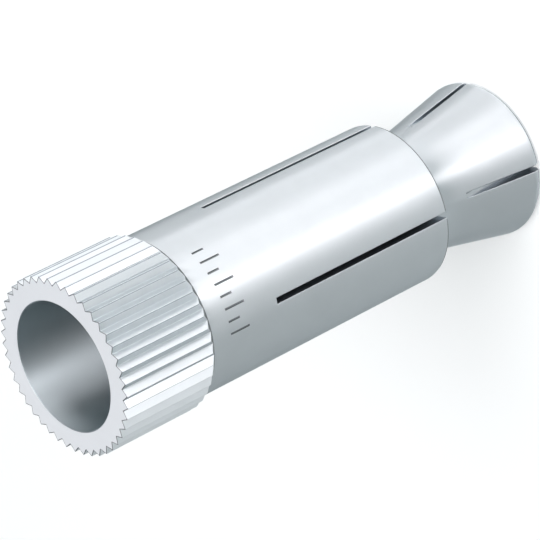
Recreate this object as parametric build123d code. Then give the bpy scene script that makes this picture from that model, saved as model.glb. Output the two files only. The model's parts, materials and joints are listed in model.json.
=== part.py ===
"""Hollow-core slab anchor: an expansion sleeve with a serrated head, and the cone nut held in its jaws.

It stands on the flat end of the cone nut with the head up. Sizes are millimetres, +Z runs from
the cone nut to the head, and the origin is the centre of the cone nut's flat end.
"""
from build123d import *
import os
from math import cos, radians, sin

# Whole anchor, from the flat end of the cone nut to the face of the head
overall_length = 52.0

# Expansion sleeve
sleeve_length = 39.3
sleeve_diameter = 15.5
bore_diameter = 12.1
slot_count = 4
slot_width = 0.53
slot_length = 21.1

# Jaws: the thicker ends of the four legs, which grip the neck of the cone nut
jaw_length = 2.5
jaw_taper_length = 1.6

# Serrated head
head_length = 10.4
head_tip_diameter = 16.7
serration_count = 45
serration_floor_step = 0.03

# Engraved strokes behind the head
mark_count = 8
mark_pitch_angle = 8.5
mark_centre_angle = -66.5
mark_gap = 2.1
mark_length = 2.2
short_mark_length = 1.3
mark_width = 0.2
mark_depth = 0.1

# Cone nut
neck_diameter = 10.4
neck_length = 3.2
cone_end_diameter = 15.45
rim_radius = 0.8
groove_floor_diameter = 12.1
groove_width = 0.53
thread_core_diameter = 8.5
lead_in = 0.4

# Fit of the neck in the jaws, on the radius
neck_clearance = 0.05

# Levels along the axis
mouth_z = overall_length - sleeve_length
head_back_z = overall_length - head_length
jaw_top_z = mouth_z + jaw_length

# Radii
sleeve_radius = sleeve_diameter / 2
bore_radius = bore_diameter / 2
tip_radius = head_tip_diameter / 2
serration_floor_radius = sleeve_radius + serration_floor_step
neck_radius = neck_diameter / 2
jaw_radius = neck_radius + neck_clearance
cone_end_radius = cone_end_diameter / 2
thread_core_radius = thread_core_diameter / 2

# The seams of turned faces lie midway between two slots, so that no slot is cut along a seam
seam_angle = 180 / slot_count

# Cutters run past the surfaces that they cut by this much
overrun = 1.0


def polar(radius, angle):
    """Point in the XY plane at a radius and an angle in degrees."""
    return (radius * cos(radians(angle)), radius * sin(radians(angle)))


def turned(profile):
    """Solid of revolution about Z from a closed outline of (radius, z) points."""
    outline = Polyline(*[(radius, 0, z) for radius, z in profile], close=True)
    return Rot(0, 0, seam_angle) * revolve(make_face(outline), Axis.Z)


def spaced(cutter, count):
    """Copies of a cutter spaced evenly about Z, the first one on +X."""
    return [Rot(0, 0, 360 / count * i) * cutter for i in range(count)]


def blade(inner_radius, outer_radius, width, low_z, high_z):
    """Box cutter that reaches outwards along +X between two radii and two levels."""
    size = (outer_radius - inner_radius, width, high_z - low_z)
    middle = ((inner_radius + outer_radius) / 2, 0, (low_z + high_z) / 2)
    return Pos(*middle) * Box(*size)


def serrated_head():
    """Head with V serrations along the axis and a 45 degree chamfer at its back."""
    pitch = 360 / serration_count
    outline = []
    for i in range(serration_count):
        outline.append(polar(serration_floor_radius, i * pitch))
        outline.append(polar(tip_radius, (i + 0.5) * pitch))
    prism = extrude(make_face(Polyline(*outline, close=True)), head_length)
    chamfer_radius = tip_radius + overrun
    chamfer_z = head_back_z + chamfer_radius - sleeve_radius
    envelope = turned([
        (0, head_back_z),
        (sleeve_radius, head_back_z),
        (chamfer_radius, chamfer_z),
        (chamfer_radius, overall_length + overrun),
        (0, overall_length + overrun),
    ])
    return (Pos(0, 0, head_back_z) * prism) & envelope


def sleeve_bore():
    """Inside of the sleeve: the plain bore, its taper to the jaws, and the jaws' seat."""
    return turned([
        (0, mouth_z - overrun),
        (jaw_radius, mouth_z - overrun),
        (jaw_radius, jaw_top_z),
        (bore_radius, jaw_top_z + jaw_taper_length),
        (bore_radius, overall_length + overrun),
        (0, overall_length + overrun),
    ])


def engraved_marks():
    """Row of plain strokes round the sleeve behind the head, every second one short."""
    strokes = []
    top_z = head_back_z - mark_gap
    for i in range(mark_count):
        length = mark_length if i % 2 == 0 else short_mark_length
        stroke = blade(sleeve_radius - mark_depth, sleeve_radius + overrun, mark_width, top_z - length, top_z)
        angle = mark_centre_angle + (i - (mark_count - 1) / 2) * mark_pitch_angle
        strokes.append(Rot(0, 0, angle) * stroke)
    return strokes


def expansion_sleeve():
    """One-piece sleeve: serrated head, smooth shank, and legs parted by slots from the mouth."""
    shank = turned([
        (0, mouth_z),
        (sleeve_radius, mouth_z),
        (sleeve_radius, head_back_z),
        (0, head_back_z),
    ])
    slot = blade(0, sleeve_radius + overrun, slot_width, mouth_z - overrun, mouth_z + slot_length)
    return shank + serrated_head() - sleeve_bore() - spaced(slot, slot_count) - engraved_marks()


def cone_blank():
    """Outside of the cone nut: neck, cone, and the rounded rim at the flat end."""
    body = turned([
        (0, 0),
        (cone_end_radius, 0),
        (neck_radius, mouth_z),
        (neck_radius, mouth_z + neck_length),
        (0, mouth_z + neck_length),
    ])
    rim = body.edges().filter_by(GeomType.CIRCLE).sort_by(Axis.Z)[0]
    return fillet(rim, rim_radius)


def thread_hole():
    """Core hole of the thread, with a lead-in chamfer at each end."""
    top_z = mouth_z + neck_length
    wide_radius = thread_core_radius + lead_in
    return turned([
        (0, -overrun),
        (wide_radius, -overrun),
        (wide_radius, 0),
        (thread_core_radius, lead_in),
        (thread_core_radius, top_z - lead_in),
        (wide_radius, top_z),
        (wide_radius, top_z + overrun),
        (0, top_z + overrun),
    ])


def cone_nut():
    """Cone nut: its grooves line up with the sleeve's slots and run out along the cone."""
    groove = blade(groove_floor_diameter / 2, cone_end_radius + overrun, groove_width, -overrun, mouth_z)
    return cone_blank() - thread_hole() - spaced(groove, slot_count)


os.makedirs("parts", exist_ok=True)
export_step(expansion_sleeve(), "parts/expansion_sleeve.step")
export_step(cone_nut(), "parts/cone_nut.step")
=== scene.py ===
"""Hollow-core slab anchor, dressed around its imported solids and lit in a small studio.

The sleeve and the cone nut are closed meshes, built outline by outline round the anchor's axis.
Their sizes start from the frame's own boxes and mounts. Lengths are metres, +Z runs from the cone
nut to the serrated head, and the flat end of the cone nut stands on the floor at z = 0.
"""

import json
from math import asin, atan, atan2, cos, hypot, inf, pi, radians, sin, tan, tau

import bmesh
import bpy
import numpy as np
from mathutils import Matrix, Vector


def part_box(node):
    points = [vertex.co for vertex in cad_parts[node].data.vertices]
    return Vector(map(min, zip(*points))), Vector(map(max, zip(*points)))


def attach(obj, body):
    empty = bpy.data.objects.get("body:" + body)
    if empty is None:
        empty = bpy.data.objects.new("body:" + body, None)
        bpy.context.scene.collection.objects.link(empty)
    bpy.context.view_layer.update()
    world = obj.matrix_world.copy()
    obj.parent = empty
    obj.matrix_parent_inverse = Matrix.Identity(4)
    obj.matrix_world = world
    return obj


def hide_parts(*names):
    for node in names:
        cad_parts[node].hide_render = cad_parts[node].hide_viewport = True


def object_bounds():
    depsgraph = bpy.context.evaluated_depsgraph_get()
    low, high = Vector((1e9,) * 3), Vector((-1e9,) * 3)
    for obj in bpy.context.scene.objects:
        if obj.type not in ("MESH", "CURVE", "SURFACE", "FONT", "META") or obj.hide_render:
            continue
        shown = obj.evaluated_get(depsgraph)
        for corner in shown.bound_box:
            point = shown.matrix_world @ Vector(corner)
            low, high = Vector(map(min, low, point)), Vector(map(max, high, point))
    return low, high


bl_info = {
    "name": "Slab Anchor",
    "version": (1, 0, 0),
    "blender": (4, 5, 0),
    "location": "3D View > Sidebar > Slab Anchor",
    "description": "Builds a hollow-core slab anchor, its zinc finish and a small studio around it",
    "category": "Object",
}

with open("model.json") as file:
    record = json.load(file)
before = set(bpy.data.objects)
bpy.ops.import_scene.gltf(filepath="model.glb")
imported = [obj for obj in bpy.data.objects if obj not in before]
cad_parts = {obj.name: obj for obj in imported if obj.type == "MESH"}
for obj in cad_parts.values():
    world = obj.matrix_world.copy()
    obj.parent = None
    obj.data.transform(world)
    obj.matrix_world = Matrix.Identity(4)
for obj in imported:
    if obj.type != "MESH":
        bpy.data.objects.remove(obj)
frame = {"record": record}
CAD_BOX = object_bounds()
MOUNTS = {mount["name"]: mount for mount in frame["record"]["mounts"]}
SLEEVE_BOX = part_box("expansion_sleeve")
NUT_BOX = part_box("cone_nut")

# Columns of the sleeve's mesh for each serration: floor, flank and tip, and back again
SERRATION_COLUMNS = 8
# Share of a flank that its rounded floor takes, and its rounded tip
FLANK_ROUNDING = 0.05
# Share of a flank at which the band below its rounded tip starts
TIP_BAND = 0.84
# Face of each serration, counted from its floor, that is painted darker along that band, as painted
# shade below the tip
SHADE_BAND_FACE = 2
# Columns of the sleeve's mesh on each side of a slot's middle, at the least
MIN_SLOT_REACH = 2

# Depth of the bevel round the head's face, as a share of its width
FACE_BEVEL_DEPTH = 0.15
# Reach of a broken edge along a 45 degree chamfer, as a share of the edge's width
CHAMFER_REACH = 0.7
# A broken edge takes at most one part in this many of the metal that stands there
EDGE_PARTS = 3
# How far the taper at the legs' ends draws them in, as a share of its length
MOUTH_TAPER = 0.25

# Points of the cone nut's outline across a groove, and faces from there to the next groove
GROOVE_POINTS = 7
NUT_ARC_FACES = 44
# Where a groove has run out, the corners of its floor lie at this share of its half width
RUN_OUT_CORNER = 0.6
# Length of a groove's last stretch before it has run out, in broken edges
RUN_OUT_EDGES = 10
# Rows of the cone nut's rounded rim, and how many steps from the flat end have painted shade
RIM_ROWS = 9
SHADED_RIM_STEPS = 5

# Columns of the threaded hole, and the slope of the thread's flanks
THREAD_COLUMNS = 96
THREAD_FLANK_ANGLE = radians(30)
# Flat at the thread's root, and its space from the hole's ends, as shares of the pitch
THREAD_ROOT = 1 / 8
THREAD_CLEARANCE = 1 / 30

# Neighbouring faces that turn by less than this are shaded as one smooth surface
SMOOTH_COSINE = cos(radians(30))

# Finishes of the faces, in the order of each piece's material slots; the last two are darker coats
# that paint shade
TURNED, SERRATED, FLAT, BORED, SHADED_SAWN, PAINTED_SHADE = range(6)

# Noise scale and detail of the plating's faint clouds and of its fine grain
CLOUD_SCALE, CLOUD_DETAIL = 350, 3
GRAIN_SCALE, GRAIN_DETAIL = 9000, 2
# How far the clouds shift the plating's tint, and the grain its roughness, either way
CLOUD_SHIFT = 0.03
GRAIN_SHIFT = 0.03
# Height of the grain in metres, and how strongly it shows
GRAIN_HEIGHT = 0.00001
GRAIN_STRENGTH = 0.1
# Part of a turn that lays the stretched highlights across the turning marks
ACROSS_MARKS = 0.25

# Sockets of a Mix node that blends two colours
MIX_SHARE, MIX_FIRST, MIX_SECOND = 0, 6, 7
MIX_RESULT = 2

# Distance of the floor's corners from the anchor, in metres
FLOOR_REACH = 8
# Heights between which the sky dims, where 0 is the horizon and 1 is overhead
SKY_DIMMING = (0.3, 0.9)
# Width of the camera's sensor in millimetres, and the distances in metres between which it sees
SENSOR_WIDTH = 36
CLIP_DISTANCES = (0.01, 50)
# Colour of the lamps, and their distance from the anchor's middle in metres
LAMP_COLOUR = (1, 0.93, 0.945)
LAMP_DISTANCE = 0.6
# Name, azimuth and elevation in degrees, width and height in metres, and radiance of each softbox
SOFTBOXES = [
    ("key_softbox", 89, 9, 0.62, 0.18, 4.3),
    ("side_softbox", 131, 9, 0.43, 0.18, 1.65),
    ("strip_softbox", 25.5, 22, 0.12, 0.35, 4.2),
    ("front_softbox", 38, 15, 0.25, 0.3, 1),
    ("low_softbox", 55, 8, 0.16, 0.16, 2.4),
    ("top_softbox", 24.5, 60, 0.28, 0.45, 4.3),
    ("top_left_softbox", -18, 60, 0.25, 0.3, 1.7),
    ("top_right_softbox", 48, 60, 0.2, 0.3, 1.1),
    ("far_right_softbox", 72, 60, 0.3, 0.3, 4.6),
    ("back_softbox", 204.5, 38, 0.24, 0.5, 1.31),
]


def mount_size(mount, size):
    """A size of one of the record's mounts, in metres."""
    return MOUNTS[mount]["dims"][size] / 1000


def length(name, description, default):
    """A property that holds a length."""
    return bpy.props.FloatProperty(
        name=name, description=description, default=default, min=0, precision=5,
        unit="LENGTH", subtype="DISTANCE")


def share(name, description, default):
    """A property that holds a share from 0 to 1."""
    return bpy.props.FloatProperty(
        name=name, description=description, default=default, min=0, max=1, subtype="FACTOR")


def angle(name, description, degrees):
    """A property that holds an angle."""
    return bpy.props.FloatProperty(
        name=name, description=description, default=radians(degrees), subtype="ANGLE")


def number(name, description, default, least):
    """A property that holds a whole number."""
    return bpy.props.IntProperty(name=name, description=description, default=default, min=least)


def colour(name, description, default):
    """A property that holds a colour."""
    return bpy.props.FloatVectorProperty(
        name=name, description=description, default=default, min=0, max=1, size=3, subtype="COLOR")


class SleeveSizes(bpy.types.PropertyGroup):
    """Sizes of the expansion sleeve."""

    top: length("Top", "Level of the head's face", SLEEVE_BOX[1].z)
    mouth: length("Mouth", "Level of the legs' ends", SLEEVE_BOX[0].z)
    shank_radius: length("Shank radius", "Outside of the shank", mount_size("sleeve_shank", "r_mm"))
    bore_radius: length("Bore radius", "Inside of the sleeve", mount_size("sleeve_bore", "r_mm"))
    jaw_radius: length("Jaw radius", "Inside of the legs' ends", 0.00525)
    jaw_length: length("Jaw length", "Length of the legs' thicker ends", 0.0025)
    jaw_taper: length("Jaw taper", "Length over which the bore narrows to the jaws", 0.0016)
    slots: number("Slots", "Number of slots", 4, 2)
    slot_width: length("Slot width", "Width of each slot", 0.00053)
    slot_length: length("Slot length", "Length of each slot from the mouth", 0.0211)
    head_length: length(
        "Head length", "Length of the serrated head", mount_size("head_serrations", "length_mm"))
    tip_radius: length(
        "Tip radius", "Radius over the serrations", mount_size("head_serrations", "r_mm"))
    floor_step: length("Floor step", "Height of the serrations' floors over the shank", 0.00003)
    serrations: number("Serrations", "Number of serrations", 45, 8)
    broken_edge: length("Broken edge", "Width by which the sharp edges are broken", 0.00008)
    front_edge: length("Front edge", "Width of the flat bevel round the head's face", 0.0001)
    mouth_edge: length("Mouth edge", "Length of the slight taper at the legs' ends", 0.00012)


class MarkSizes(bpy.types.PropertyGroup):
    """Sizes of the row of engraved strokes behind the head."""

    count: number("Strokes", "Number of strokes", 8, 0)
    pitch: angle("Pitch", "Angle from one stroke to the next", 8.5)
    centre: angle("Centre", "Angle of the middle of the row", -66.5)
    gap: length("Gap", "Gap between the head and the strokes", 0.0021)
    long_stroke: length("Long stroke", "Length of the first stroke and every second one", 0.0022)
    short_stroke: length("Short stroke", "Length of the strokes between", 0.0013)
    width: length("Width", "Width of a stroke", 0.0002)
    depth: length("Depth", "Depth of a stroke", 0.0001)


class NutSizes(bpy.types.PropertyGroup):
    """Sizes of the cone nut."""

    top: length("Top", "Level of the neck's end", NUT_BOX[1].z)
    neck_radius: length("Neck radius", "Outside of the neck and of the cone's small end", 0.0052)
    end_radius: length("End radius", "Radius of the sharp cone at its flat end", 0.007725)
    rim_radius: length("Rim radius", "Rounding of the flat end's rim", 0.0008)
    groove_floor: length("Groove floor", "Distance of the grooves' floors from the axis", 0.00605)
    groove_width: length("Groove width", "Width of each groove", 0.00053)
    core_radius: length(
        "Core radius", "Radius of the thread's crests", mount_size("cone_thread", "r_mm"))
    thread_radius: length("Thread radius", "Radius of the thread's roots", 0.005)
    thread_pitch: length("Thread pitch", "Rise of the thread in one turn", 0.0015)
    lead_in_radius: length(
        "Lead-in radius", "Radius of the countersinks at both ends of the thread", 0.00504)


class FinishLook(bpy.types.PropertyGroup):
    """The zinc plating, with darker coats that paint shade and a lighter one that paints light."""

    zinc: colour("Zinc", "Colour of the plating", (0.72, 0.77, 0.79))
    # Painted shade: thin dark outlines along sharp edges, and shade painted into the engraved
    # strokes, behind the head and at the legs' ends
    corners: colour(
        "Corners", "Colour of the plating in the engraved strokes and along sharp edges",
        (0.22, 0.24, 0.25))
    grazing: share(
        "Grazing tint", "Share of light that the plating mirrors when seen at a low angle", 0.4)
    roughness: share("Roughness", "Roughness of the turned surfaces", 0.48)
    anisotropy: share("Anisotropy", "How far the turning marks stretch the highlights", 1)
    # A little lighter than the zinc, as painted light on the serrations
    serrated: colour("Serrations", "Colour of the plating on the serrations", (0.735, 0.78, 0.8))
    serrated_roughness: share("Serration roughness", "Roughness of the serrations", 0.37)
    face_roughness: share("Face roughness", "Roughness of the flat faces", 0.4)
    # Darker than the zinc: painted shade on the slots' walls, the cone nut's groove walls and rim,
    # and the bands below the serrations' tips
    slots: colour("Slots", "Colour of the plating in the slots", (0.34, 0.38, 0.42))
    slot_roughness: share("Slot roughness", "Roughness of the slots' walls", 0.38)
    # Darker than the outside's zinc, as painted shade in the bore
    bore: colour("Bore", "Colour of the plating in the bore", (0.56, 0.635, 0.66))
    bore_roughness: share("Bore roughness", "Roughness of the bore", 0.65)
    bore_anisotropy: share(
        "Bore anisotropy", "How far the bore's turning marks stretch the highlights", 0.95)


class StudioLook(bpy.types.PropertyGroup):
    """Camera, floor and lamps."""

    camera_azimuth: angle("Camera azimuth", "Direction of the camera, from -Y towards +X", 24.48)
    camera_elevation: angle("Camera elevation", "Height of the camera over the horizon", 35.66)
    camera_roll: angle("Camera roll", "Turn of the camera about its own axis", -116.63)
    camera_distance: length("Camera distance", "Distance of the camera from its aim", 0.32426)
    camera_aim: bpy.props.FloatVectorProperty(
        name="Camera aim", description="Point that the camera looks at",
        default=(-0.00047, -0.00022, 0.02798), size=3, subtype="TRANSLATION", unit="LENGTH")
    lens: bpy.props.FloatProperty(
        name="Lens", description="Focal length in millimetres", default=241.79, min=1)
    floor: colour("Floor", "Colour of the floor", (0.6, 0.645, 0.64))
    floor_glow: share("Floor glow", "Whiteness added where the floor is seen or mirrored", 0.41)
    sky: colour("Sky", "Colour of the light from all round", (0.295, 0.34, 0.36))
    zenith: colour("Zenith", "Colour of the light from overhead", (0.045, 0.052, 0.055))


class Shell:
    """A mesh gathered outline by outline. Each face has a finish, and some only break an edge."""

    def __init__(self):
        self.points = []
        self.faces = []
        self.finishes = []
        self.breaks = []

    def row(self, radii, angles, levels):
        """Adds points by radius, angle and level, each one value or many. Returns their indices."""
        radii, angles, levels = np.broadcast_arrays(radii, angles, levels)
        first = len(self.points)
        self.points.extend(zip(radii * np.cos(angles), radii * np.sin(angles), levels))
        return np.arange(first, len(self.points))

    def face(self, corners, finish, breaks=False):
        """Adds one face."""
        self.faces.append([int(corner) for corner in corners])
        self.finishes.append(int(finish))
        self.breaks.append(bool(breaks))

    def strip(self, first, second, finish, breaks=False, closed=False):
        """Joins two rows by quads. finish and breaks are one value, or one for each quad."""
        count = len(first)
        steps = count if closed else count - 1
        finish = np.broadcast_to(finish, steps)
        breaks = np.broadcast_to(breaks, steps)
        for i in range(steps):
            j = (i + 1) % count
            self.face((first[i], first[j], second[j], second[i]), finish[i], breaks[i])

    def annulus(self, outer, outer_starts, inner, inner_starts, finish):
        """Fills the flat ring between two closed rows, in sectors with the given starts."""
        sectors = len(outer_starts)
        for i in range(sectors):
            outside = span(outer, outer_starts[i], outer_starts[(i + 1) % sectors])
            inside = span(inner, inner_starts[i], inner_starts[(i + 1) % sectors])
            self.face(outside + inside[::-1], finish)

    def make(self, name, materials):
        """The finished mesh as an object of the scene."""
        mesh = bpy.data.meshes.new(name)
        mesh.from_pydata(self.points, [], self.faces)
        for material in materials:
            mesh.materials.append(material)
        mesh.polygons.foreach_set("material_index", self.finishes)
        mesh.polygons.foreach_set("use_smooth", [True] * len(self.faces))
        turn_outwards(mesh)
        mesh.normals_split_custom_set(corner_normals(mesh, self.breaks))
        piece = bpy.data.objects.new(name, mesh)
        bpy.context.scene.collection.objects.link(piece)
        return piece


def span(row, start, end):
    """The stretch of a closed row from one place to another, both included."""
    count = len(row)
    steps = (end - start) % count or count
    return [row[(start + i) % count] for i in range(steps + 1)]


def turn_outwards(mesh):
    """Turns every face of a closed mesh outwards."""
    work = bmesh.new()
    work.from_mesh(mesh)
    bmesh.ops.recalc_face_normals(work, faces=work.faces)
    work.to_mesh(mesh)
    work.free()


def corner_normals(mesh, breaks):
    """Normals that keep the main surfaces true, while the faces that break an edge round it off."""
    faces_at = [[] for _ in mesh.vertices]
    for face in mesh.polygons:
        for corner in face.vertices:
            faces_at[corner].append(face.index)
    normals = [face.normal.copy() for face in mesh.polygons]
    weighted = [face.normal * face.area for face in mesh.polygons]
    found = []
    for face in mesh.polygons:
        for corner in face.vertices:
            main = [f for f in faces_at[corner] if not breaks[f]]
            if not breaks[face.index]:
                main = [f for f in main if normals[f].dot(normals[face.index]) > SMOOTH_COSINE]
            total = sum((weighted[f] for f in main or faces_at[corner]), Vector())
            found.append(total.normalized())
    return found


def sideways(distance, radius):
    """Angle from a line through the axis to a point this far beside it, at this radius."""
    return asin(distance / radius)


class SleeveColumns:
    """Columns of the sleeve's mesh: evenly round the head, and beside the slots below it."""

    def __init__(self, sizes):
        self.sizes = sizes
        self.count = sizes.serrations * SERRATION_COLUMNS
        self.middles = [tau * i / sizes.slots for i in range(sizes.slots + 1)]
        self.indices = [round(self.count * i / sizes.slots) for i in range(sizes.slots + 1)]
        rim = sideways(sizes.slot_width / 2 + sizes.broken_edge, sizes.shank_radius)
        self.reach = max(MIN_SLOT_REACH, round(rim / (tau / self.count)))

    def stretch(self, first, last):
        """Columns from one to another, both included."""
        return np.arange(first, last + 1) % self.count

    def slot(self, i):
        """Columns over slot i, from rim to rim."""
        return self.stretch(self.indices[i] - self.reach, self.indices[i] + self.reach)

    def leg(self, i):
        """Columns of the leg after slot i, from rim to rim."""
        return self.stretch(self.indices[i] + self.reach, self.indices[i + 1] - self.reach)

    def angles(self, radius):
        """Angles of the columns on a cylinder, which meet the slots' rims there."""
        rim = sideways(self.sizes.slot_width / 2 + self.sizes.broken_edge, radius)
        found = np.empty(self.count)
        for i in range(self.sizes.slots):
            start, end = self.middles[i], self.middles[i + 1]
            found[self.leg(i)] = np.linspace(start + rim, end - rim, len(self.leg(i)))
            found[self.slot(i)] = np.linspace(start - rim, start + rim, 2 * self.reach + 1)
        return found % tau


def serration_outline(sizes):
    """Radius and angle of each column on the head: V serrations with rounded tips and floors."""
    pitch = tau / sizes.serrations
    floor = Vector((sizes.shank_radius + sizes.floor_step, 0))
    tip = Vector((sizes.tip_radius * cos(pitch / 2), sizes.tip_radius * sin(pitch / 2)))
    flank = [floor.lerp(tip, t) for t in (FLANK_ROUNDING, TIP_BAND, 1 - FLANK_ROUNDING)]
    floor_radius = (floor.length + flank[0].length) / 2
    tip_radius = (tip.length + flank[-1].length) / 2
    flank = [(point.length, atan2(point.y, point.x)) for point in flank]
    rise = [(floor_radius, 0), *flank, (tip_radius, pitch / 2)]
    fall = [(radius, pitch - turn) for radius, turn in reversed(flank)]
    serration = np.array(rise + fall)
    radii = np.tile(serration[:, 0], sizes.serrations)
    angles = np.concatenate([serration[:, 1] + i * pitch for i in range(sizes.serrations)])
    return radii, angles


def build_head(shell, sizes, columns):
    """Serrated head with a 45 degree chamfer at its back. Returns its first and last rows."""
    radii, angles = serration_outline(sizes)
    edge = sizes.broken_edge
    back = sizes.top - sizes.head_length
    above = radii - sizes.shank_radius
    corner = back + above
    cut = np.minimum(edge, above / EDGE_PARTS)
    face_rim = shell.row(radii - sizes.front_edge, angles, sizes.top)
    front = shell.row(radii, angles, sizes.top - sizes.front_edge * FACE_BEVEL_DEPTH)
    rear = shell.row(radii, angles, corner + cut)
    reach = cut * CHAMFER_REACH
    chamfer = shell.row(radii - reach, angles, corner - reach)
    foot = shell.row(sizes.shank_radius + reach, angles, back + reach)
    shank = shell.row(sizes.shank_radius, angles, back - edge)
    # Painted shade: a dark outline round the bevel of the head's face
    shell.strip(face_rim, front, PAINTED_SHADE, breaks=True, closed=True)
    # Painted shade: a darker band below each serration's rounded tip
    shade_band = np.arange(columns.count) % SERRATION_COLUMNS == SHADE_BAND_FACE
    flanks = np.where(shade_band, SHADED_SAWN, SERRATED)
    shell.strip(front, rear, flanks, breaks=rounded_columns(columns), closed=True)
    shell.strip(rear, chamfer, SERRATED, breaks=True, closed=True)
    # Painted shade on the chamfer's foot, and a thin dark line along the shank behind the head
    shell.strip(chamfer, foot, PAINTED_SHADE, closed=True)
    shell.strip(foot, shank, PAINTED_SHADE, breaks=True, closed=True)
    return face_rim, shank


def rounded_columns(columns):
    """True for the faces of the head that round a serration's tip or floor."""
    half = SERRATION_COLUMNS // 2
    return [i % half in (0, half - 1) for i in range(columns.count)]


def stroke_places(marks):
    """Angle and length of each engraved stroke."""
    for i in range(marks.count):
        middle = marks.centre + (i - (marks.count - 1) / 2) * marks.pitch
        yield middle % tau, marks.long_stroke if i % 2 == 0 else marks.short_stroke


def engraved_shank(shell, sizes, marks, columns, upper):
    """Shank from the head to the slots' ends, with its engraved strokes. Returns its last row."""
    radius = sizes.shank_radius
    back = sizes.top - sizes.head_length
    even = columns.angles(radius)
    stroke_top = back - marks.gap
    levels = [stroke_top, stroke_top - marks.depth]
    for stroke in (marks.short_stroke, marks.long_stroke):
        levels += [stroke_top - stroke + marks.depth, stroke_top - stroke]
    angles = even.copy()
    radii = np.full((len(levels), columns.count), radius)
    half = sideways(marks.width / 2, radius)
    taper = sideways(marks.depth / 2, radius)
    for middle, stroke in stroke_places(marks):
        left = int(np.argmax(np.where(even <= middle, even, -1)))
        near = [(left + i) % columns.count for i in (-1, 0, 1, 2)]
        angles[near] = middle + np.array((-half, taper - half, half - taper, half))
        radii[1:levels.index(stroke_top - stroke), near[1:3]] = radius - marks.depth
    rows = [shell.row(radius, even, back - marks.gap / 2)]
    rows += [shell.row(radii[i], angles, level) for i, level in enumerate(levels)]
    rows += [shell.row(radius, even, sizes.mouth + sizes.slot_length + sizes.broken_edge)]
    shell.strip(upper, rows[0], TURNED, closed=True)
    sunk = np.pad(radii < radius, ((1, 1), (0, 0)))
    for i in range(len(rows) - 1):
        either = sunk[i] | sunk[i + 1]
        # Painted shade in the engraved strokes and on the faces beside them
        finish = np.where(either | np.roll(either, -1), PAINTED_SHADE, TURNED)
        shell.strip(rows[i], rows[i + 1], finish, closed=True)
    return rows[-1]


def build_bore(shell, sizes, columns, face_rim):
    """Head's flat face and the plain bore down to the slots' ends. Returns the last row."""
    radius = sizes.bore_radius
    edge = sizes.broken_edge
    mouth = shell.row(radius + edge, columns.angles(radius + edge), sizes.top)
    upper = shell.row(radius, columns.angles(radius), sizes.top - edge)
    lower = shell.row(radius, columns.angles(radius), sizes.mouth + sizes.slot_length + edge)
    shell.strip(face_rim, mouth, FLAT, closed=True)
    shell.strip(mouth, upper, BORED, breaks=True, closed=True)
    shell.strip(upper, lower, BORED, closed=True)
    return lower


def slot_ends(shell, sizes, columns, outside, inside):
    """Flat end of each slot. Returns its outer and inner rows for each slot."""
    edge = sizes.broken_edge
    level = sizes.mouth + sizes.slot_length
    offsets = np.linspace(-0.5, 0.5, 2 * columns.reach + 1) * sizes.slot_width
    ends = []
    for i in range(sizes.slots):
        rows = []
        for radius in (sizes.shank_radius - edge, sizes.bore_radius + edge):
            angles = columns.middles[i] + np.arcsin(offsets / radius)
            rows.append(shell.row(radius, angles, level))
        shell.strip(outside[columns.slot(i)], rows[0], FLAT, breaks=True)
        # Painted shade on the slot's end wall
        shell.strip(rows[0], rows[1], SHADED_SAWN)
        shell.strip(rows[1], inside[columns.slot(i)], FLAT, breaks=True)
        ends.append(rows)
    return ends


def bore_radius_at(sizes, level):
    """Radius of the bore, its taper or its jaws at a level."""
    jaw_top = sizes.mouth + sizes.jaw_length
    taper_top = jaw_top + sizes.jaw_taper
    return float(np.interp(level, (jaw_top, taper_top), (sizes.jaw_radius, sizes.bore_radius)))


def leg_outline(shell, sizes, columns, i, level, inset):
    """Closed outline of the leg after slot i at one level, drawn in by an inset."""
    edge = sizes.broken_edge
    outer = sizes.shank_radius - inset
    inner = bore_radius_at(sizes, level) + inset
    wall = sizes.slot_width / 2 + inset
    start, end = columns.middles[i], columns.middles[i + 1]
    count = len(columns.leg(i))

    def arc(radius):
        rim = sideways(wall + edge, radius)
        return shell.row(radius, np.linspace(start + rim, end - rim, count), level)

    def side(middle, direction):
        radii = np.array((outer - edge, inner + edge))
        return shell.row(radii, middle + direction * np.arcsin(wall / radii), level)

    right = side(end, -1)
    left = side(start, 1)
    return np.concatenate([arc(outer), right, arc(inner)[::-1], left[::-1]])


def build_legs(shell, sizes, columns, outside, inside):
    """The legs from the slots' ends to the mouth."""
    edge = sizes.broken_edge
    ends = slot_ends(shell, sizes, columns, outside, inside)
    jaw_top = sizes.mouth + sizes.jaw_length
    taper_top = jaw_top + sizes.jaw_taper
    steps = [
        (taper_top + edge, False), (taper_top - edge, True), (jaw_top + edge, False),
        (jaw_top - edge, True), (sizes.mouth + sizes.mouth_edge, False)]
    for i in range(sizes.slots):
        after = ends[(i + 1) % sizes.slots]
        arc = len(columns.leg(i))
        # Painted shade on the slots' side walls
        wall = [TURNED, SHADED_SAWN, BORED]
        finish = np.array([TURNED] * (arc - 1) + wall + [BORED] * (arc - 1) + wall[::-1])
        sides = np.array(([False] * (arc - 1) + [True, False, True]) * 2)
        upper = np.concatenate([
            outside[columns.leg(i)], [after[0][0], after[1][0]],
            inside[columns.leg(i)][::-1], [ends[i][1][-1], ends[i][0][-1]]])
        for level, whole in steps:
            lower = leg_outline(shell, sizes, columns, i, level, 0)
            shell.strip(upper, lower, finish, breaks=sides | whole, closed=True)
            upper = lower
        tip = leg_outline(shell, sizes, columns, i, sizes.mouth, sizes.mouth_edge * MOUTH_TAPER)
        # Painted shade: a thin dark line on the taper at the legs' ends
        finish[:arc - 1] = PAINTED_SHADE
        shell.strip(upper, tip, finish, breaks=True, closed=True)
        shell.face(tip, FLAT)


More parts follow.
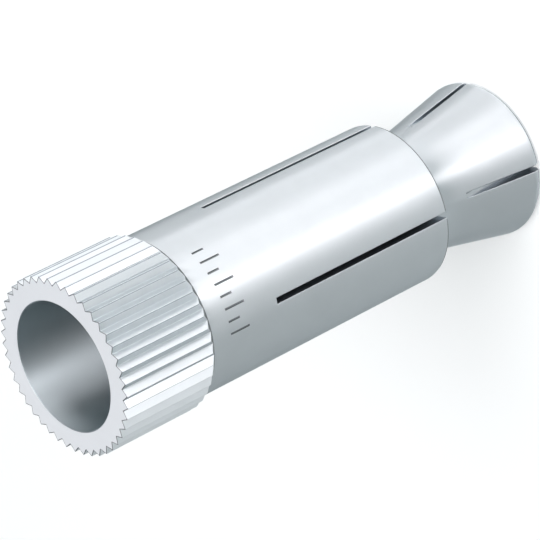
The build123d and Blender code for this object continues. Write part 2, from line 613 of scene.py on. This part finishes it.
def nut_outline(shell, sizes, edge, grooves, radius, level, sunk):
    """Closed outline of the cone nut at one level, with its grooves where sunk is true."""
    half = sizes.groove_width / 2
    if sunk:
        lip = min(edge, (radius - sizes.groove_floor) / EDGE_PARTS)
        corner = hypot(sizes.groove_floor, half)
        across = [(radius, half + edge), (radius - lip, half), (corner, half)]
        middle = [(sizes.groove_floor, 0)]
    else:
        across = [(radius, half + edge), (radius, half), (radius, half * RUN_OUT_CORNER)]
        middle = [(radius, 0)]
    across = [(r, -y) for r, y in across] + middle + across[::-1]
    radii = np.array([r for r, y in across])
    turns = np.arcsin([y / r for r, y in across])
    rim = turns[-1]
    parts = []
    for i in range(grooves):
        start = tau * i / grooves
        parts.append(shell.row(radii, start + turns, level))
        arc = np.linspace(start + rim, start + tau / grooves - rim, NUT_ARC_FACES + 1)[1:-1]
        parts.append(shell.row(radius, arc, level))
    return np.concatenate(parts)


def nut_profile(sizes, mouth, edge):
    """Each row's radius and level, if its grooves are sunk, and if its step up breaks an edge."""
    slope = atan((sizes.end_radius - sizes.neck_radius) / mouth)
    reach = sizes.rim_radius / tan((pi / 2 - slope) / 2)
    centre = sizes.end_radius - reach
    for turn in np.linspace(-pi / 2, slope, RIM_ROWS):
        yield centre + sizes.rim_radius * cos(turn), sizes.rim_radius * (1 + sin(turn)), True, False
    run_out = (sizes.end_radius - sizes.groove_floor) / tan(slope)
    for level in (run_out - RUN_OUT_EDGES * edge, run_out, mouth - edge):
        yield sizes.end_radius - level * tan(slope), level, level < run_out, level == mouth - edge
    yield sizes.neck_radius, mouth + edge, False, False
    yield sizes.neck_radius, sizes.top - edge, False, True
    yield sizes.neck_radius - edge, sizes.top, False, False


def threaded_hole(shell, sizes, low, high):
    """Right-hand internal thread with a countersink at each end. Returns its end rows."""
    pitch = sizes.thread_pitch
    root = pitch * THREAD_ROOT
    flank = (sizes.thread_radius - sizes.core_radius) * tan(THREAD_FLANK_ANGLE)
    crest = pitch - root - 2 * flank
    profile = [(0, sizes.core_radius), (crest, sizes.core_radius),
               (crest + flank, sizes.thread_radius), (crest + flank + root, sizes.thread_radius)]
    clear = pitch * THREAD_CLEARANCE
    turns = np.arange(THREAD_COLUMNS) / THREAD_COLUMNS
    ends = [shell.row(sizes.lead_in_radius, turns * tau, level) for level in (low, high)]
    first, last = (-inf, 0), (inf, 0)
    chains = []
    for column, turn in enumerate(turns):
        chain = {first: ends[0][column]}
        for coil in range(-1, int((high - low) / pitch) + 1):
            for line, (offset, radius) in enumerate(profile):
                level = low + (coil + turn) * pitch + offset
                if low + clear < level < high - clear:
                    countersink = sizes.lead_in_radius - min(level - low, high - level)
                    chain[coil, line] = shell.row(max(radius, countersink), turn * tau, [level])[0]
        chain[last] = ends[1][column]
        chains.append(chain)
    chains.append({(coil - 1, line): point for (coil, line), point in chains[0].items()})
    for one, other in zip(chains, chains[1:]):
        shared = sorted(set(one) & set(other))
        for low_key, high_key in zip(shared, shared[1:]):
            side = [one[key] for key in sorted(one) if low_key <= key <= high_key]
            back = [other[key] for key in sorted(other) if low_key <= key <= high_key]
            shell.face(side + back[::-1], BORED)
    return ends


def build_nut(shell, sizes, sleeve):
    """Cone nut: its outside from the flat end to the neck's end, its threaded hole and its ends."""
    edge = sleeve.broken_edge
    grooves = sleeve.slots
    profile = list(nut_profile(sizes, sleeve.mouth, edge))
    rows = [nut_outline(shell, sizes, edge, grooves, *place[:3]) for place in profile]
    groove_breaks = [True, False, False, False, False, True]
    # Painted shade on the grooves' walls
    groove_finish = [TURNED, SHADED_SAWN, TURNED, TURNED, SHADED_SAWN, TURNED]
    sunk_breaks = (groove_breaks + [False] * NUT_ARC_FACES) * grooves
    sunk_finish = (groove_finish + [TURNED] * NUT_ARC_FACES) * grooves
    for i, (_, _, sunk, broken) in enumerate(profile[:-1]):
        breaks = sunk_breaks if sunk else broken
        finish = sunk_finish if sunk else TURNED
        # Painted shade on the rounded rim next to the flat end
        if i < SHADED_RIM_STEPS:
            finish = SHADED_SAWN
        shell.strip(rows[i], rows[i + 1], finish, breaks=breaks, closed=True)
    bottom, top = threaded_hole(shell, sizes, 0, sizes.top)
    sector = GROOVE_POINTS + NUT_ARC_FACES - 1
    outer_starts = [GROOVE_POINTS // 2 + i * sector for i in range(grooves)]
    inner_starts = [round(THREAD_COLUMNS * i / grooves) for i in range(grooves)]
    shell.annulus(rows[0], outer_starts, bottom, inner_starts, FLAT)
    shell.annulus(rows[-1], outer_starts, top, inner_starts, FLAT)


def blend(tree, share_socket, first, second):
    """Adds a node that blends two colours, and returns its result."""
    mix = tree.nodes.new("ShaderNodeMix")
    mix.data_type = "RGBA"
    mix.inputs[MIX_FIRST].default_value = (*first, 1)
    mix.inputs[MIX_SECOND].default_value = (*second, 1)
    tree.links.new(share_socket, mix.inputs[MIX_SHARE])
    return mix.outputs[MIX_RESULT]


def noise(tree, place, scale, detail):
    """Adds a noise texture on the piece's own coordinates, and returns its value."""
    texture = tree.nodes.new("ShaderNodeTexNoise")
    texture.inputs["Scale"].default_value = scale
    texture.inputs["Detail"].default_value = detail
    tree.links.new(place.outputs["Object"], texture.inputs["Vector"])
    return texture.outputs["Fac"]


def plating(name, tint, grazing, roughness, anisotropy):
    """Satin zinc plating: fine grain, faint clouds, and highlights that turning marks stretch."""
    material = bpy.data.materials.new(name)
    material.use_nodes = True
    tree = material.node_tree
    surface = tree.nodes["Principled BSDF"]
    surface.inputs["Metallic"].default_value = 1
    surface.inputs["Specular Tint"].default_value = (grazing, grazing, grazing, 1)
    surface.inputs["Anisotropic"].default_value = anisotropy
    surface.inputs["Anisotropic Rotation"].default_value = ACROSS_MARKS
    place = tree.nodes.new("ShaderNodeTexCoord")
    cloud = noise(tree, place, CLOUD_SCALE, CLOUD_DETAIL)
    grain = noise(tree, place, GRAIN_SCALE, GRAIN_DETAIL)
    dark = [value * (1 - CLOUD_SHIFT) for value in tint]
    light = [min(1, value * (1 + CLOUD_SHIFT)) for value in tint]
    tree.links.new(blend(tree, cloud, dark, light), surface.inputs["Base Color"])
    rough = tree.nodes.new("ShaderNodeMapRange")
    rough.inputs["To Min"].default_value = roughness - GRAIN_SHIFT
    rough.inputs["To Max"].default_value = roughness + GRAIN_SHIFT
    tree.links.new(grain, rough.inputs["Value"])
    tree.links.new(rough.outputs["Result"], surface.inputs["Roughness"])
    bump = tree.nodes.new("ShaderNodeBump")
    bump.inputs["Strength"].default_value = GRAIN_STRENGTH
    bump.inputs["Distance"].default_value = GRAIN_HEIGHT
    tree.links.new(grain, bump.inputs["Height"])
    tree.links.new(bump.outputs["Normal"], surface.inputs["Normal"])
    if anisotropy > 0:
        around = tree.nodes.new("ShaderNodeTangent")
        around.direction_type = "RADIAL"
        around.axis = "Z"
        tree.links.new(around.outputs["Tangent"], surface.inputs["Tangent"])
    return material


def finishes(look):
    """The materials of both pieces, in the order of the finishes."""
    coats = [
        # The serrated coat is a little lighter than the zinc, as painted light; the slot and corner
        # coats are darker, as painted shade
        ("turned_zinc", look.zinc, look.roughness, look.anisotropy),
        ("serrated_zinc", look.serrated, look.serrated_roughness, look.anisotropy),
        ("flat_zinc", look.zinc, look.face_roughness, 0),
        ("bored_zinc", look.bore, look.bore_roughness, look.bore_anisotropy),
        ("shaded_sawn_zinc", look.slots, look.slot_roughness, 0),
        ("painted_shade_zinc", look.corners, look.roughness, 0),
    ]
    return [
        bpy.data.materials.get(name) or plating(name, tint, look.grazing, roughness, anisotropy)
        for name, tint, roughness, anisotropy in coats]


class ANCHOR_OT_sleeve(bpy.types.Operator):
    """Build the expansion sleeve: serrated head, shank with its strokes, slots, legs and jaws"""

    bl_idname = "anchor.sleeve"
    bl_label = "Expansion Sleeve"

    def execute(self, context):
        sizes = context.scene.anchor_sleeve
        columns = SleeveColumns(sizes)
        shell = Shell()
        face_rim, shank = build_head(shell, sizes, columns)
        outside = engraved_shank(shell, sizes, context.scene.anchor_marks, columns, shank)
        inside = build_bore(shell, sizes, columns, face_rim)
        build_legs(shell, sizes, columns, outside, inside)
        piece = shell.make("plated_sleeve", finishes(context.scene.anchor_finish))
        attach(piece, "root")
        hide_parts("expansion_sleeve")
        return {"FINISHED"}


class ANCHOR_OT_cone_nut(bpy.types.Operator):
    """Build the cone nut: rounded rim, grooved cone, neck and thread"""

    bl_idname = "anchor.cone_nut"
    bl_label = "Cone Nut"

    def execute(self, context):
        shell = Shell()
        build_nut(shell, context.scene.anchor_nut, context.scene.anchor_sleeve)
        piece = shell.make("plated_cone_nut", finishes(context.scene.anchor_finish))
        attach(piece, "root")
        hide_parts("cone_nut")
        return {"FINISHED"}


def direction(azimuth, elevation):
    """Unit vector towards an azimuth, from -Y towards +X, and an elevation."""
    return Vector((sin(azimuth) * cos(elevation), -cos(azimuth) * cos(elevation), sin(elevation)))


def softbox(name, azimuth, elevation, width, height, radiance):
    """Soft lamp that faces the anchor's middle."""
    lamp = bpy.data.lights.new(name, "AREA")
    lamp.shape = "RECTANGLE"
    lamp.size = width
    lamp.size_y = height
    lamp.energy = radiance * pi * width * height
    lamp.color = LAMP_COLOUR
    towards = direction(radians(azimuth), radians(elevation))
    placed = bpy.data.objects.new(name, lamp)
    placed.rotation_mode = "QUATERNION"
    placed.rotation_quaternion = towards.to_track_quat("Z", "Y")
    placed.location = towards * LAMP_DISTANCE + Vector((0, 0, CAD_BOX[1].z / 2))
    bpy.context.scene.collection.objects.link(placed)


def reckon(tree, operation, first, second):
    """Adds a node that works out one number, kept between 0 and 1, and returns its output."""
    node = tree.nodes.new("ShaderNodeMath")
    node.operation = operation
    node.use_clamp = True
    for value, socket in zip((first, second), node.inputs):
        if isinstance(value, bpy.types.NodeSocket):
            tree.links.new(value, socket)
        else:
            socket.default_value = value
    return node.outputs[0]


def floor_paint(look):
    """Pale paint that looks white to the camera and in the metal, and keeps the anchor's shadow."""
    material = bpy.data.materials.new("floor_paint")
    material.use_nodes = True
    tree = material.node_tree
    tree.nodes.clear()
    out = tree.nodes.new("ShaderNodeOutputMaterial")
    paint = tree.nodes.new("ShaderNodeBsdfDiffuse")
    paint.inputs["Color"].default_value = (*look.floor, 1)
    rays = tree.nodes.new("ShaderNodeLightPath").outputs
    seen = reckon(tree, "ADD", rays["Is Camera Ray"], rays["Is Glossy Ray"])
    seen = reckon(tree, "ADD", seen, rays["Is Transmission Ray"])
    glow = tree.nodes.new("ShaderNodeEmission")
    tree.links.new(reckon(tree, "MULTIPLY", seen, look.floor_glow), glow.inputs["Strength"])
    both = tree.nodes.new("ShaderNodeAddShader")
    tree.links.new(paint.outputs[0], both.inputs[0])
    tree.links.new(glow.outputs[0], both.inputs[1])
    tree.links.new(both.outputs[0], out.inputs["Surface"])
    return material


def studio_floor(look):
    """Square floor, with the anchor in its middle."""
    shell = Shell()
    shell.face(shell.row(FLOOR_REACH, [tau * (i + 0.5) / 4 for i in range(4)], 0), 0)
    floor = shell.make("studio_floor", [floor_paint(look)])


def studio_sky(look):
    """Plain light from all round, dimmer overhead."""
    sky = bpy.data.worlds.new("studio_sky")
    sky.use_nodes = True
    tree = sky.node_tree
    place = tree.nodes.new("ShaderNodeTexCoord")
    axes = tree.nodes.new("ShaderNodeSeparateXYZ")
    height = tree.nodes.new("ShaderNodeMapRange")
    height.inputs["From Min"].default_value, height.inputs["From Max"].default_value = SKY_DIMMING
    tree.links.new(place.outputs["Generated"], axes.inputs["Vector"])
    tree.links.new(axes.outputs["Z"], height.inputs["Value"])
    shade = blend(tree, height.outputs["Result"], look.sky, look.zenith)
    tree.links.new(shade, tree.nodes["Background"].inputs["Color"])
    bpy.context.scene.world = sky


def studio_camera(look):
    """Camera that looks at the anchor, turned about its own axis."""
    lens = bpy.data.cameras.new("camera")
    lens.lens = look.lens
    lens.sensor_width = SENSOR_WIDTH
    lens.clip_start, lens.clip_end = CLIP_DISTANCES
    camera = bpy.data.objects.new("camera", lens)
    back = direction(look.camera_azimuth, look.camera_elevation)
    upright = back.to_track_quat("Z", "Y").to_matrix()
    roll = Matrix.Rotation(look.camera_roll, 3, "Z")
    camera.rotation_mode = "QUATERNION"
    camera.rotation_quaternion = (upright @ roll).to_quaternion()
    camera.location = Vector(look.camera_aim) + back * look.camera_distance
    bpy.context.scene.collection.objects.link(camera)
    bpy.context.scene.camera = camera


class ANCHOR_OT_studio(bpy.types.Operator):
    """Set up the camera, the floor and the lamps"""

    bl_idname = "anchor.studio"
    bl_label = "Studio"

    def execute(self, context):
        look = context.scene.anchor_studio
        context.scene.view_settings.view_transform = "Standard"
        studio_camera(look)
        studio_floor(look)
        for lamp in SOFTBOXES:
            softbox(*lamp)
        studio_sky(look)
        return {"FINISHED"}


class ANCHOR_PT_panel(bpy.types.Panel):
    """Sizes, colours and build buttons of the slab anchor"""

    bl_idname = "ANCHOR_PT_panel"
    bl_label = "Slab Anchor"
    bl_space_type = "VIEW_3D"
    bl_region_type = "UI"
    bl_category = "Slab Anchor"

    def draw(self, context):
        for name, operators in PANEL_ROWS:
            box = self.layout.box()
            group = getattr(context.scene, name)
            for entry in group.__annotations__:
                box.prop(group, entry)
            for operator in operators:
                box.operator(operator)


SETTINGS = {
    "anchor_sleeve": SleeveSizes,
    "anchor_marks": MarkSizes,
    "anchor_nut": NutSizes,
    "anchor_finish": FinishLook,
    "anchor_studio": StudioLook,
}
PANEL_ROWS = [
    ("anchor_sleeve", ["anchor.sleeve"]),
    ("anchor_marks", []),
    ("anchor_nut", ["anchor.cone_nut"]),
    ("anchor_finish", []),
    ("anchor_studio", ["anchor.studio"]),
]
CLASSES = [
    *SETTINGS.values(), ANCHOR_OT_sleeve, ANCHOR_OT_cone_nut, ANCHOR_OT_studio, ANCHOR_PT_panel]


def register():
    """Registers the classes and gives the scene its settings."""
    for cls in CLASSES:
        bpy.utils.register_class(cls)
    for name, cls in SETTINGS.items():
        setattr(bpy.types.Scene, name, bpy.props.PointerProperty(type=cls))


def unregister():
    """Takes the settings and the classes away again."""
    for name in SETTINGS:
        delattr(bpy.types.Scene, name)
    for cls in reversed(CLASSES):
        bpy.utils.unregister_class(cls)


def main():
    """Builds the studio and both pieces."""
    register()
    bpy.ops.anchor.studio()
    bpy.ops.anchor.sleeve()
    bpy.ops.anchor.cone_nut()
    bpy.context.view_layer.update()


if __name__ == "__main__":
    main()
